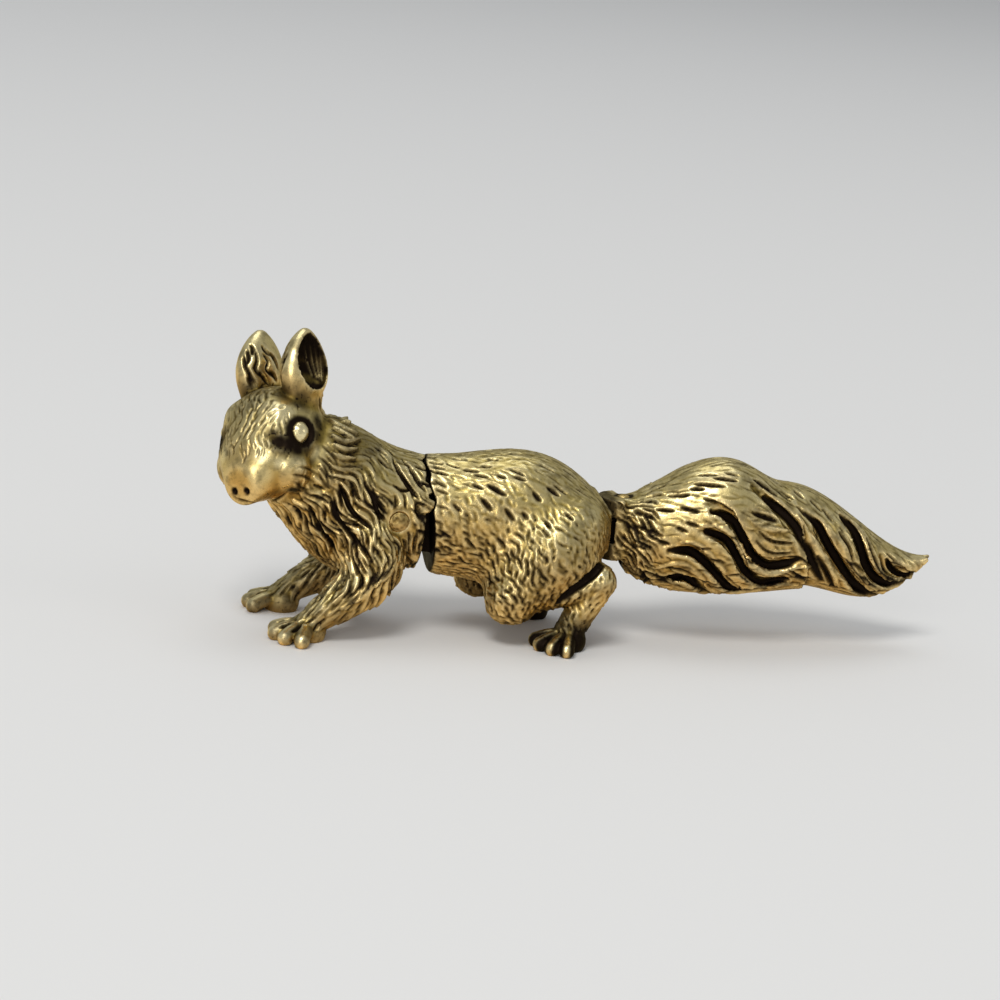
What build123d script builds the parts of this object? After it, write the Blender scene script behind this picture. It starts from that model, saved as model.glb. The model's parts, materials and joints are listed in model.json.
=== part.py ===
"""Jointed cast-brass squirrel, walking low with its tail stretched out behind.

Two castings are hinged at the waist by a crosswise rivet, and the tail swings
sideways on an upright rivet behind the rump.
Lengths are millimetres. The nose points along -X, the animal's left side is -Y,
+Z is up, and the origin lies on the ground under the middle of the figure.
"""

from build123d import *
from math import cos, radians, sin, tan
import os

# Clearances
running_clearance = 0.05
rivet_clearance = 0.01
slot_clearance = 0.15

# Waist joint
waist_x = -16.2
waist_pin_setback = 2.6
waist_pin_height = 11.5
waist_pin_diameter = 1.8
waist_pin_length = 10.2
waist_tongue_radius = 3.5
waist_tongue_thickness = 4.4
waist_gap_top = 0.18
waist_gap_bottom = 1.5
waist_swing = 12.0

# Torso
body_height = 12.6
body_width = 11.4
body_axis_height = 11.25
front_length = 11.6
rear_length = 18.2
chest_groove_radius = 0.32
chest_groove_depth = 0.4

# Head
head_length = 11.4
head_width = 9.3
head_height = 9.8
head_x = -30.6
head_offset = 1.0
head_centre_height = 17.6
head_yaw = 46.0
head_pitch = 6.0
head_roll = 12.0
ear_length = 6.9
ear_width = 5.7
ear_depth = 3.4
ear_hollow_outset = 0.8
ear_lean = 0.5
ear_rake = 17.0
eye_diameter = 1.8
eye_socket_diameter = 2.7
nostril_diameter = 0.7

# Fore legs
shoulder_x = -21.2
shoulder_height = 9.5
shoulder_radius = 2.7
fore_paw_x = -26.4
fore_spread = 4.8
fore_toe_length = 3.8

# Hind legs
hip_x = -2.3
hip_height = 10.7
knee_x = -7.8
knee_height = 4.4
thigh_radius = 4.3
thigh_spread = 3.3
knee_spread = 4.7
hock_x = 0.5
hock_height = 6.6
shank_radius = 1.7
heel_radius = 1.35
hind_foot_x = -1.8
hind_spread = 5.3
hind_toe_length = 3.7

# Paws of all four legs; the right legs stand a little ahead of the left ones
paw_radius = 1.7
toe_radius = 0.72
right_lead = 1.2

# Tail joint
tail_pin_x = 3.6
tail_pin_diameter = 1.2
tail_lug_radius = 2.4
tail_lug_height = 5.9
tail_lug_top = 13.7
tail_tongue_radius = 1.3
tail_tongue_thickness = 2.2
tail_root_gap = 0.4
tail_swing = 25.0

# Tail
tail_reach = 31.6
tail_height = 13.2
tail_width = 10.4
tail_axis_height = 11.05
tail_groove_radius = 0.62
tail_groove_depth = 0.9

# Rivet ends stand proud in low domes, by a share of the pin's radius
dome_share = 0.3
# Balls that close a limb's ends are a little fuller than the limb
ball_share = 1.04

# Torso stations: along the length, rise of the centre, half height, half width
front_shares = (
    (-0.1, 0.0, 0.432, 0.404),
    (0.21, 0.012, 0.464, 0.434),
    (0.52, 0.06, 0.5, 0.447),
    (0.74, 0.22, 0.455, 0.42),
    (0.97, 0.385, 0.4, 0.38),
    (1.16, 0.42, 0.25, 0.26),
)
front_tilts = (0.0, 4.0, 20.0, 38.0, 45.0, 45.0)
rear_shares = (
    (-0.06, 0.0, 0.432, 0.404),
    (0.13, 0.0, 0.456, 0.425),
    (0.35, 0.004, 0.496, 0.474),
    (0.57, 0.012, 0.5, 0.5),
    (0.75, -0.004, 0.437, 0.465),
    (0.9, -0.028, 0.31, 0.36),
    (1.0, -0.044, 0.22, 0.29),
)

# Head stations from the nape to the nose, in the same order
head_shares = (
    (-0.43, 0.0, 0.15, 0.15),
    (-0.3, 0.02, 0.42, 0.41),
    (-0.08, 0.0, 0.5, 0.5),
    (0.12, -0.02, 0.48, 0.473),
    (0.265, -0.085, 0.415, 0.395),
    (0.365, -0.17, 0.315, 0.3),
    (0.44, -0.245, 0.24, 0.225),
    (0.48, -0.27, 0.12, 0.12),
)

# Places on the head: forward, sideways and up, in shares of its length, width and height
eye_shares = (0.066, 0.415, 0.1)
eye_socket_shares = (0.066, 0.525, 0.1)
ear_root_shares = (-0.2, 0.275, 0.31)
cheek_shares = (0.14, 0.27, -0.22)
cheek_radius_share = 0.24
nostril_shares = (0.462, 0.075, -0.34)

# Ear stations from root to tip: along, then half width and half depth alike
ear_shares = ((-0.12, 0.32), (0.22, 0.46), (0.48, 0.5), (0.72, 0.4), (0.9, 0.23), (1.0, 0.07))
ear_hollow_shares = ((0.08, 0.05), (0.24, 0.26), (0.46, 0.38), (0.7, 0.32), (0.87, 0.17), (0.95, 0.05))

# Leg stations: stride from shoulder to paw, spread, height and radius
fore_leg_shares = (
    (0.0, 0.68, 1.0, 1.0),
    (0.0, 0.88, 0.62, 0.92),
    (0.5, 1.0, 0.37, 0.66),
    (0.95, 1.0, 0.18, 0.46),
)
# Thigh stations from above the hip to the knee: along and radius
thigh_shares = ((-0.05, 0.82), (0.25, 1.0), (0.6, 0.86), (0.95, 0.6))
# Toes fan outwards from straight ahead; a toe's middle and tip, along and up
fore_toe_angles = (-24.0, 8.0, 40.0, 72.0)
hind_toe_angles = (-12.0, 18.0, 48.0, 75.0)
knuckle_shares = (0.62, 0.62)
toe_tip_shares = (1.0, 0.36)

# Tail stations: the front mass of locks, then the rear one that comes out from under it
tail_front_shares = (
    (0.012, -0.06, 0.25, 0.28),
    (0.063, -0.075, 0.34, 0.39),
    (0.158, -0.035, 0.44, 0.442),
    (0.269, 0.008, 0.5, 0.5),
    (0.405, 0.0, 0.477, 0.495),
    (0.545, -0.035, 0.41, 0.445),
)
tail_front_tilts = (0.0, 0.0, 0.0, 0.0, 6.0, 14.0)
tail_rear_shares = (
    (0.44, -0.023, 0.36, 0.4),
    (0.585, -0.038, 0.364, 0.4),
    (0.72, -0.155, 0.307, 0.35),
    (0.842, -0.25, 0.212, 0.24),
    (0.937, -0.235, 0.098, 0.115),
    (1.0, -0.167, 0.027, 0.029),
)
tail_rear_tilts = (0.0, 0.0, 0.0, 0.0, 0.0, 0.0)

# Grooves between the larger locks of fur: places along a body, and round from its top to its underside
chest_groove_shares = (
    ((0.38, 0.18), (0.27, 0.25), (0.19, 0.31), (0.08, 0.37)),
    ((0.62, 0.37), (0.51, 0.4), (0.43, 0.47), (0.33, 0.51)),
    ((0.78, 0.46), (0.68, 0.49), (0.58, 0.52), (0.4, 0.57)),
    ((0.75, 0.54), (0.66, 0.58), (0.5, 0.64), (0.33, 0.75)),
    ((0.78, 0.67), (0.7, 0.69), (0.59, 0.73), (0.5, 0.78)),
)
tail_front_groove_shares = (
    ((0.05, 0.62), (0.1, 0.7), (0.2, 0.75), (0.28, 0.86)),
    ((0.12, 0.54), (0.19, 0.56), (0.25, 0.64), (0.3, 0.73), (0.37, 0.84)),
    ((0.2, 0.45), (0.28, 0.5), (0.33, 0.59), (0.37, 0.69), (0.43, 0.74), (0.5, 0.72)),
    ((0.22, 0.33), (0.3, 0.41), (0.34, 0.5), (0.38, 0.59), (0.44, 0.62), (0.52, 0.58)),
    ((0.38, 0.22), (0.46, 0.3), (0.5, 0.38), (0.53, 0.48)),
)
tail_rear_groove_shares = (
    ((0.57, 0.34), (0.62, 0.46), (0.67, 0.56), (0.72, 0.66), (0.79, 0.78)),
    ((0.67, 0.2), (0.72, 0.31), (0.76, 0.49), (0.8, 0.59), (0.87, 0.65)),
    ((0.82, 0.33), (0.85, 0.46), (0.9, 0.58), (0.93, 0.7)),
)

waist_pin_x = waist_x - waist_pin_setback
tail_joint_height = tail_lug_top - tail_lug_height / 2
left, right = -1, 1
sides = ((left, 0.0), (right, right_lead))


def station_plane(x, z, heading, tilt):
    """An upright plane across the body, facing +X or -X and tilted upwards."""
    lean = radians(tilt)
    return Plane((x, 0, z), x_dir=(0, 1, 0), z_dir=(heading * cos(lean), 0, sin(lean)))


def lofted(planes, half_widths, half_heights):
    """A smooth body through ellipses on the given planes."""
    with BuildPart() as body:
        for plane, half_width, half_height in zip(planes, half_widths, half_heights):
            with BuildSketch(plane):
                Ellipse(half_width, half_height)
        loft()
    return body.part


def spindle(start_x, heading, length, axis_height, height, width, shares, tilts):
    """A torso or tail: ellipses set along X, from start_x towards heading."""
    planes = [
        station_plane(start_x + heading * along * length, axis_height + rise * height, heading, tilt)
        for (along, rise, _, _), tilt in zip(shares, tilts)
    ]
    half_heights = [share[2] * height for share in shares]
    half_widths = [share[3] * width for share in shares]
    return lofted(planes, half_widths, half_heights)


def on_skin(form, place, side, lift):
    """A point of a spindle's skin, or off it by lift: along by share, round by share from the top."""
    start_x, heading, length, axis_height, height, width, shares, tilts = form
    along, turn_share = place
    stations = [(*share, tilt) for share, tilt in zip(shares, tilts)]
    first, second = next(pair for pair in zip(stations, stations[1:]) if along <= pair[1][0])
    part_way = (along - first[0]) / (second[0] - first[0])
    _, rise, half_height, half_width, tilt = (a + (b - a) * part_way for a, b in zip(first, second))
    plane = station_plane(start_x + heading * along * length, axis_height + rise * height, heading, tilt)
    turn = radians(180 * turn_share)
    sideways = plane.x_dir * side * (half_width * width + lift) * sin(turn)
    upwards = plane.y_dir * heading * (half_height * height + lift) * cos(turn)
    return plane.origin + sideways + upwards


def groove(form, places, side, radius, depth):
    """A round groove along a spindle's skin, which runs out to nothing at both ends."""
    lifts = [radius] + [radius - depth] * (len(places) - 2) + [radius]
    with BuildPart() as cutter:
        with BuildLine() as route:
            Spline(*[on_skin(form, place, side, lift) for place, lift in zip(places, lifts)])
        with BuildSketch(Plane(route.line @ 0, z_dir=route.line % 0)):
            Circle(radius)
        sweep()
    return cutter.part


def grooved(form, paths, radius, depth):
    """A spindle with the same grooves on both its sides."""
    with BuildPart() as body:
        add(spindle(*form))
        for side in (left, right):
            for places in paths:
                add(groove(form, places, side, radius, depth), mode=Mode.SUBTRACT)
    return body.part


def limb(points, radii):
    """A round limb that tapers through the points, closed by a ball at each end."""
    path = [Vector(point) for point in points]
    before = [path[0]] + path[:-1]
    after = path[1:] + [path[-1]]
    with BuildPart() as shape:
        for here, last, following, radius in zip(path, before, after, radii):
            along = (following - last).normalized()
            with BuildSketch(Plane(here, x_dir=along.cross(Vector(0, 1, 0)), z_dir=along)):
                Circle(radius)
        loft()
        for end, radius in ((path[0], radii[0]), (path[-1], radii[-1])):
            with Locations(end):
                Sphere(radius * ball_share)
    return shape.part


def paw(x, y, side, toe_length, toe_angles):
    """A ball of a paw with four toes that fan outwards, as a list of shapes."""
    with BuildPart() as pad:
        with Locations((x, y, paw_radius / 2)):
            Sphere(paw_radius)
    shapes = [pad.part]
    for angle in toe_angles:
        ahead = Vector(-cos(radians(angle)), side * sin(radians(angle)), 0)
        root = Vector(x, y, paw_radius / 2)
        points = [root]
        for along, rise in (knuckle_shares, toe_tip_shares):
            points.append(Vector(x, y, paw_radius * rise) + ahead * (toe_length - toe_radius) * along)
        shapes.append(limb(points, [toe_radius] * len(points)))
    return shapes


def fore_leg(side, lead):
    """Shoulder to wrist, with its paw."""
    stride = fore_paw_x - shoulder_x
    points = [
        (shoulder_x + along * stride - along * lead, side * fore_spread * spread, shoulder_height * rise)
        for along, spread, rise, _ in fore_leg_shares
    ]
    radii = [shoulder_radius * share[3] for share in fore_leg_shares]
    paw_place = (fore_paw_x - lead, side * fore_spread, side)
    return [limb(points, radii), *paw(*paw_place, fore_toe_length, fore_toe_angles)]


def hind_leg(side, lead):
    """Thigh, shank and hind foot."""
    hip = Vector(hip_x - lead, side * thigh_spread, hip_height)
    knee = Vector(knee_x - lead, side * knee_spread, knee_height)
    hock = Vector(hock_x - lead, side * hind_spread, hock_height)
    heel = Vector(hind_foot_x - lead, side * hind_spread, paw_radius)
    thigh = limb(
        [hip + (knee - hip) * along for along, _ in thigh_shares],
        [thigh_radius * radius for _, radius in thigh_shares],
    )
    shank = limb([knee, hock], [shank_radius, shank_radius])
    instep = limb([hock, heel], [shank_radius, heel_radius])
    paw_place = (hind_foot_x - lead, side * hind_spread, side)
    return [thigh, shank, instep, *paw(*paw_place, hind_toe_length, hind_toe_angles)]


def domed_pin(plane, diameter, length):
    """A rivet centred on plane, along its normal, with a low dome at each end."""
    radius = diameter / 2
    with BuildPart() as pin:
        with BuildSketch(Plane(plane.origin, x_dir=plane.x_dir, z_dir=-plane.y_dir)):
            with BuildLine():
                top = (0, length / 2 + radius * dome_share)
                bottom = (0, -length / 2 - radius * dome_share)
                shoulder_top = (radius, length / 2)
                shoulder_bottom = (radius, -length / 2)
                Line(bottom, top)
                TangentArc(top, shoulder_top, tangent=(1, 0))
                Line(shoulder_top, shoulder_bottom)
                TangentArc(bottom, shoulder_bottom, tangent=(1, 0))
            make_face()
        revolve(axis=Axis(plane.origin, plane.z_dir))
    return pin.part


def turned(plane, direction, angle):
    """The plane turned by angle about a direction through its origin."""
    axis = Axis((0, 0, 0), direction)
    return Plane(plane.origin, x_dir=plane.x_dir.rotate(axis, angle), z_dir=plane.z_dir.rotate(axis, angle))


# Head frame: x forwards along the muzzle, y to the animal's left, z up
head_plane = Plane(
    (head_x, -head_offset, head_centre_height),
    x_dir=(-cos(radians(head_yaw)), -sin(radians(head_yaw)), 0),
    z_dir=(0, 0, 1),
)
head_plane = turned(head_plane, head_plane.y_dir, head_pitch)
head_plane = turned(head_plane, head_plane.x_dir, head_roll)


def on_head(shares, side):
    """A point of the head frame, with its sideways share on the given side."""
    forward, sideways, up = shares
    local = Vector(forward * head_length, -side * sideways * head_width, up * head_height)
    return head_plane.from_local_coords(local)


def head_core():
    """Skull and muzzle in one smooth body."""
    planes = []
    for along, rise, _, _ in head_shares:
        centre = on_head((along, 0, rise), left)
        planes.append(Plane(centre, x_dir=head_plane.y_dir, z_dir=head_plane.x_dir))
    return lofted(
        planes,
        [share[3] * head_width for share in head_shares],
        [share[2] * head_height for share in head_shares],
    )


def ear(side, stations, outset):
    """An upright ear, or set outwards the hollow that opens it to the side."""
    root = Plane(on_head(ear_root_shares, side), x_dir=head_plane.x_dir, z_dir=head_plane.z_dir)
    root = turned(root, root.x_dir, side * ear_lean)
    root = turned(root, root.y_dir, -ear_rake)
    outwards = root.y_dir * -side
    planes = []
    for along, _ in stations:
        centre = root.origin + root.z_dir * along * ear_length + outwards * outset
        planes.append(Plane(centre, x_dir=root.x_dir, z_dir=root.z_dir))
    half_widths = [share * ear_width for _, share in stations]
    half_depths = [share * ear_depth for _, share in stations]
    return lofted(planes, half_widths, half_depths)


waist_plane = Plane((waist_pin_x, 0, waist_pin_height), x_dir=(1, 0, 0), z_dir=(0, -1, 0))
tail_plane = Plane((tail_pin_x, 0, tail_joint_height))
shoulder_reach = waist_pin_setback + waist_gap_bottom

# Front casting: chest, head and fore legs, slotted at the waist
chest = (waist_x, -1, front_length, body_axis_height, body_height, body_width, front_shares, front_tilts)
with BuildPart() as front_body:
    add(grooved(chest, chest_groove_shares, chest_groove_radius, chest_groove_depth))
    split(bisect_by=Plane.YZ.offset(waist_x), keep=Keep.BOTTOM)
    add(head_core())
    for side, lead in sides:
        for shape in fore_leg(side, lead):
            add(shape)
        with Locations(on_head(cheek_shares, side)):
            Sphere(cheek_radius_share * head_width)
        add(ear(side, ear_shares, 0))
        add(ear(side, ear_hollow_shares, ear_hollow_outset), mode=Mode.SUBTRACT)
        with Locations(on_head(eye_socket_shares, side)):
            Sphere(eye_socket_diameter / 2, mode=Mode.SUBTRACT)
        with Locations(on_head(nostril_shares, side)):
            Sphere(nostril_diameter / 2, mode=Mode.SUBTRACT)
        with Locations(on_head(eye_shares, side)):
            Sphere(eye_diameter / 2)
    split(bisect_by=Plane.XY, keep=Keep.TOP)
    slot_radius = waist_tongue_radius + slot_clearance
    with BuildSketch(waist_plane):
        Circle(slot_radius)
        drop = shoulder_reach * tan(radians(waist_swing))
        with BuildLine():
            Polyline(
                (0, slot_radius),
                (shoulder_reach, slot_radius),
                (shoulder_reach, -slot_radius - drop),
                (0, -slot_radius),
                close=True,
            )
        make_face()
    extrude(amount=waist_tongue_thickness / 2 + slot_clearance, both=True, mode=Mode.SUBTRACT)
    with BuildSketch(waist_plane):
        Circle(waist_pin_diameter / 2 + rivet_clearance)
    extrude(amount=body_width, both=True, mode=Mode.SUBTRACT)
front_body.part.label = "front_body"

# Rear casting: loin, haunches and hind legs, with a tongue at each end
loin = spindle(
    waist_x, 1, rear_length, body_axis_height, body_height, body_width, rear_shares, [0] * len(rear_shares)
)
gap_slope = Vector(waist_gap_bottom - waist_gap_top, 0, -body_height)
loin_face = Plane(
    (waist_x + waist_gap_top, 0, body_axis_height + body_height / 2),
    x_dir=(0, 1, 0),
    z_dir=gap_slope.cross(Vector(0, 1, 0)),
)
with BuildPart() as rear_body:
    add(loin)
    split(bisect_by=loin_face, keep=Keep.TOP)
    for side, lead in sides:
        for shape in hind_leg(side, lead):
            add(shape)
    split(bisect_by=Plane.XY, keep=Keep.TOP)
    with BuildSketch(tail_plane):
        Circle(tail_lug_radius + tail_root_gap)
    extrude(amount=body_height, both=True, mode=Mode.SUBTRACT)
    with BuildSketch(waist_plane):
        Circle(waist_tongue_radius)
        with Locations((shoulder_reach, 0)):
            Rectangle(2 * shoulder_reach, 2 * waist_tongue_radius)
    extrude(amount=waist_tongue_thickness / 2, both=True)
    with BuildSketch(tail_plane):
        Circle(tail_tongue_radius)
        neck = tail_lug_radius + tail_root_gap
        with Locations((-neck, 0)):
            Rectangle(2 * neck, 2 * tail_tongue_radius)
    extrude(amount=tail_tongue_thickness / 2, both=True)
    with BuildSketch(waist_plane):
        Circle(waist_pin_diameter / 2 + running_clearance)
    extrude(amount=waist_tongue_thickness, both=True, mode=Mode.SUBTRACT)
    with BuildSketch(tail_plane):
        Circle(tail_pin_diameter / 2 + running_clearance)
    extrude(amount=tail_tongue_thickness, both=True, mode=Mode.SUBTRACT)
rear_body.part.label = "rear_body"

# Tail casting: a flat-topped lug at the root, then two masses of locks
tail_size = (tail_pin_x, 1, tail_reach, tail_axis_height, tail_height, tail_width)
tail_masses = [
    grooved((*tail_size, shares, tilts), paths, tail_groove_radius, tail_groove_depth)
    for shares, tilts, paths in (
        (tail_front_shares, tail_front_tilts, tail_front_groove_shares),
        (tail_rear_shares, tail_rear_tilts, tail_rear_groove_shares),
    )
]
with BuildPart() as tail:
    with BuildSketch(tail_plane):
        Circle(tail_lug_radius)
    extrude(amount=tail_lug_height / 2, both=True)
    for mass in tail_masses:
        add(mass)
    pocket_radius = tail_tongue_radius + slot_clearance
    with BuildSketch(tail_plane):
        Circle(pocket_radius)
        mouth_reach = tail_lug_radius + tail_root_gap
        mouth_flare = mouth_reach * tan(radians(tail_swing))
        mouth_root = pocket_radius / cos(radians(tail_swing))
        with BuildLine():
            Polyline(
                (0, mouth_root),
                (-mouth_reach, mouth_root + mouth_flare),
                (-mouth_reach, -mouth_root - mouth_flare),
                (0, -mouth_root),
                close=True,
            )
        make_face()
    extrude(amount=tail_tongue_thickness / 2 + slot_clearance, both=True, mode=Mode.SUBTRACT)
    with BuildSketch(tail_plane):
        Circle(tail_pin_diameter / 2 + rivet_clearance)
    extrude(amount=tail_height, both=True, mode=Mode.SUBTRACT)
tail.part.label = "tail"

# Rivets
waist_pin = domed_pin(waist_plane, waist_pin_diameter, waist_pin_length)
waist_pin.label = "waist_pin"
tail_pin = domed_pin(tail_plane, tail_pin_diameter, tail_lug_height)
tail_pin.label = "tail_pin"

os.makedirs("parts", exist_ok=True)
export_step(front_body.part, "parts/front_body.step")
export_step(rear_body.part, "parts/rear_body.step")
export_step(tail.part, "parts/tail.step")
export_step(waist_pin, "parts/waist_pin.step")
export_step(tail_pin, "parts/tail_pin.step")
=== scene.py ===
"""Looks of the jointed brass squirrel: three tooled castings, two peened rivets, a pale floor.

Each casting starts as its CAD node in fine even quads and is tooled like a wax model:
hollows are filleted, locks of fur raised, dashes and wavy channels cut. Patina gathers in
the hollows and the high spots are rubbed. The tooling works in millimetres, in the CAD frame.
"""

import json
from math import cos, pi, radians, sin

import bmesh
import bpy
import numpy as np
from mathutils import Matrix, Vector
from mathutils.bvhtree import BVHTree


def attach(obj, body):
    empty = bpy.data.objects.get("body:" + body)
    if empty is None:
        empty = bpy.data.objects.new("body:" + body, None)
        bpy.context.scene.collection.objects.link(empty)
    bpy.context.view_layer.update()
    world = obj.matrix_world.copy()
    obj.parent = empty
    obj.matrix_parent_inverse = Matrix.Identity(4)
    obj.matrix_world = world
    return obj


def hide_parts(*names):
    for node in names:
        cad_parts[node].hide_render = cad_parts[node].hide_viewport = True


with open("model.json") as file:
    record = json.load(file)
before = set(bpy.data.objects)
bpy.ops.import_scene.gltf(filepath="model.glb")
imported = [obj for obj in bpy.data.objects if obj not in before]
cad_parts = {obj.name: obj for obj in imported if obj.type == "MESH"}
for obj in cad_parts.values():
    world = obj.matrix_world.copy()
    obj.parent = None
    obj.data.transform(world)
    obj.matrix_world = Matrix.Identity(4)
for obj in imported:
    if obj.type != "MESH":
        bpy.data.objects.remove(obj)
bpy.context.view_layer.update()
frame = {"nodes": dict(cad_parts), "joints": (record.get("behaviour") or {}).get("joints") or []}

MM = 0.001
CELL = 1.0
rng = np.random.default_rng(41)

# The photograph's camera, in millimetres: where it aims, how it stands and its focal length in pixels
PHOTO_SIDE = 1000
AIM = np.array((-0.4, 0.0, 9.1))
AIM_PIXEL = (578, 541)
AZIMUTH, ELEVATION, ROLL = radians(-15), radians(14), radians(6)
DISTANCE = 260.0
FOCAL_PIXELS = 2730.0
SENSOR = 36.0

back = np.array((sin(AZIMUTH) * cos(ELEVATION), -cos(AZIMUTH) * cos(ELEVATION), sin(ELEVATION)))
level = np.array((cos(AZIMUTH), sin(AZIMUTH), 0.0))
right = cos(ROLL) * level + sin(ROLL) * np.cross(back, level)
up = np.cross(back, right)
eye = AIM + DISTANCE * back


def pixel_ray(u, v):
    """Direction from the camera through a pixel of the photograph."""
    ray = right * (u - AIM_PIXEL[0]) / FOCAL_PIXELS + up * (AIM_PIXEL[1] - v) / FOCAL_PIXELS - back
    return ray / np.linalg.norm(ray)


def unit(vector):
    return vector / max(np.linalg.norm(vector), 1e-9)


def smoothstep(x, low, high):
    t = np.clip((x - low) / (high - low), 0, 1)
    return t * t * (3 - 2 * t)


class Casting:
    """A CAD node in fine even quads, to be tooled. Millimetres."""

    def __init__(self, node, voxel):
        self.node = node
        mesh = frame["nodes"][node].data.copy()
        mesh.transform(Matrix.Scale(1 / MM, 4))
        welded = bmesh.new()
        welded.from_mesh(mesh)
        bmesh.ops.remove_doubles(welded, verts=welded.verts, dist=0.0005)
        welded.to_mesh(mesh)
        welded.free()
        blank = bpy.data.objects.new("blank", mesh)
        bpy.context.scene.collection.objects.link(blank)
        remesh = blank.modifiers.new("even", "REMESH")
        remesh.mode = "VOXEL"
        remesh.voxel_size = voxel
        bpy.context.view_layer.update()
        even = bpy.data.meshes.new_from_object(blank.evaluated_get(bpy.context.evaluated_depsgraph_get()))
        self.v = np.empty(len(even.vertices) * 3)
        even.vertices.foreach_get("co", self.v)
        self.v = self.v.reshape(-1, 3)
        self.edges = np.empty(len(even.edges) * 2, int)
        even.edges.foreach_get("vertices", self.edges)
        self.edges = self.edges.reshape(-1, 2)
        self.quads = np.empty(len(even.loops), int)
        even.loops.foreach_get("vertex_index", self.quads)
        self.quads = self.quads.reshape(-1, 4)
        bpy.data.objects.remove(blank)
        bpy.data.meshes.remove(even)
        bpy.data.meshes.remove(mesh)
        self.degree = np.bincount(self.edges.ravel(), minlength=len(self.v))[:, None]
        self.index()

    def mean_of_neighbours(self, values):
        a, b = self.edges.T
        total = np.empty_like(values)
        for k in range(values.shape[1]):
            total[:, k] = np.bincount(a, values[b, k], len(values)) + np.bincount(b, values[a, k], len(values))
        return total / self.degree

    def normals(self):
        p = self.v[self.quads]
        across = np.cross(p[:, 2] - p[:, 0], p[:, 3] - p[:, 1])
        total = np.empty_like(self.v)
        for k in range(3):
            total[:, k] = np.bincount(self.quads.ravel(), np.repeat(across[:, k], 4), len(self.v))
        return total / np.maximum(np.linalg.norm(total, axis=1), 1e-12)[:, None]

    def index(self):
        """Notes the present surface as the one to tool: its normals, its cells and its search tree."""
        self.base = self.v.copy()
        self.n = self.normals()
        self.tree = BVHTree.FromPolygons(self.v.tolist(), self.quads.tolist())
        keys, inverse = np.unique(np.floor(self.v / CELL).astype(int), axis=0, return_inverse=True)
        inverse = inverse.ravel()
        groups = np.split(np.argsort(inverse, kind="stable"), np.cumsum(np.bincount(inverse))[:-1])
        self.cells = {tuple(key): group for key, group in zip(keys.tolist(), groups)}
        self.push = np.zeros(len(self.v))
        self.locks = np.zeros(len(self.v))
        self.cuts = np.zeros(len(self.v))

    def smooth(self, rounds, weight=1.0):
        """Evens out the surface with little shrinkage."""
        for step in range(2 * rounds):
            factor = 0.5 if step % 2 == 0 else -0.47
            self.v += factor * weight * (self.mean_of_neighbours(self.v) - self.v)

    def fillet(self, rounds, weight=1.0):
        """Fills sharp hollows and leaves ridges standing."""
        for _ in range(rounds):
            pull = self.mean_of_neighbours(self.v) - self.v
            hollow = (pull * self.normals()).sum(1, keepdims=True) > 0
            self.v += np.where(hollow, 0.8, 0.12) * weight * pull

    def near(self, path, reach):
        """Vertices in the cells around a path."""
        low = np.floor((path - reach) / CELL).astype(int)
        high = np.floor((path + reach) / CELL).astype(int)
        wanted = set()
        for (x0, y0, z0), (x1, y1, z1) in zip(low.tolist(), high.tolist()):
            for x in range(x0, x1 + 1):
                for y in range(y0, y1 + 1):
                    for z in range(z0, z1 + 1):
                        wanted.add((x, y, z))
        found = [self.cells[key] for key in sorted(wanted) if key in self.cells]
        return np.concatenate(found) if found else np.zeros(0, int)

    def along(self, path, reach):
        """Vertices within reach of a path: their indices, distances, and places along it from 0 to 1."""
        chosen = self.near(path, reach)
        start, leg = path[:-1], path[1:] - path[:-1]
        length = np.maximum(np.linalg.norm(leg, axis=1), 1e-9)
        offset = self.base[chosen][:, None] - start
        t = np.clip((offset * leg).sum(2) / length**2, 0, 1)
        gap = np.linalg.norm(offset - t[..., None] * leg, axis=2)
        nearest = gap.argmin(1)
        rows = np.arange(len(chosen))
        before = np.concatenate(([0], np.cumsum(length)[:-1]))
        place = (before[nearest] + t[rows, nearest] * length[nearest]) / length.sum()
        gap = gap[rows, nearest]
        normals = np.array([self.tree.find_nearest(p)[1] for p in path])
        facing = (self.n[chosen] * normals[nearest]).sum(1) > 0.15
        keep = (gap < reach) & facing
        return chosen[keep], gap[keep], place[keep]

    def bulge(self, centre, radius, height):
        """A soft swelling, or a hollow with a negative height."""
        centre = np.asarray(centre, float)
        chosen = self.near(centre[None], 2.2 * radius)
        gap = np.linalg.norm(self.base[chosen] - centre, axis=1)
        facing = (self.n[chosen] * np.array(self.tree.find_nearest(centre)[1])).sum(1) > 0
        self.push[chosen] += np.where(facing, height * np.exp(-((gap / radius) ** 2)), 0)

    def cut(self, path, half_width, depth, blunt=0.5, lip=0.0):
        """A groove with tapered ends, and if wanted a raised lip on both sides."""
        if path is None or len(path) < 2:
            return
        chosen, gap, place = self.along(path, 2.6 * half_width)
        taper = np.sin(pi * np.clip(place, 0.02, 0.98)) ** blunt
        across = gap / np.maximum(half_width * (0.45 + 0.55 * taper), 1e-6)
        groove = -depth * taper * (1 - smoothstep(across, 0.35, 1.15))
        self.cuts[chosen] = np.minimum(self.cuts[chosen], groove)
        if lip:
            self.push[chosen] += lip * taper * np.exp(-(((across - 1.5) / 0.45) ** 2))

    def lock(self, path, half_width, height):
        """A raised lock of fur, low at its root and full near its tip."""
        if path is None or len(path) < 2:
            return
        chosen, gap, place = self.along(path, 1.1 * half_width)
        width = half_width * np.sin(pi * np.clip(0.1 + 0.86 * place, 0, 1)) ** 0.6
        rise = height * (0.45 + 0.55 * place) * np.sqrt(np.clip(1 - (gap / np.maximum(width, 1e-6)) ** 2, 0, 1))
        self.locks[chosen] = np.maximum(self.locks[chosen], rise)

    def pixel(self, u, v):
        """The surface point seen at a pixel of the photograph."""
        hit = self.tree.ray_cast(eye, pixel_ray(u, v))[0]
        return None if hit is None else np.array(hit)

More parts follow.
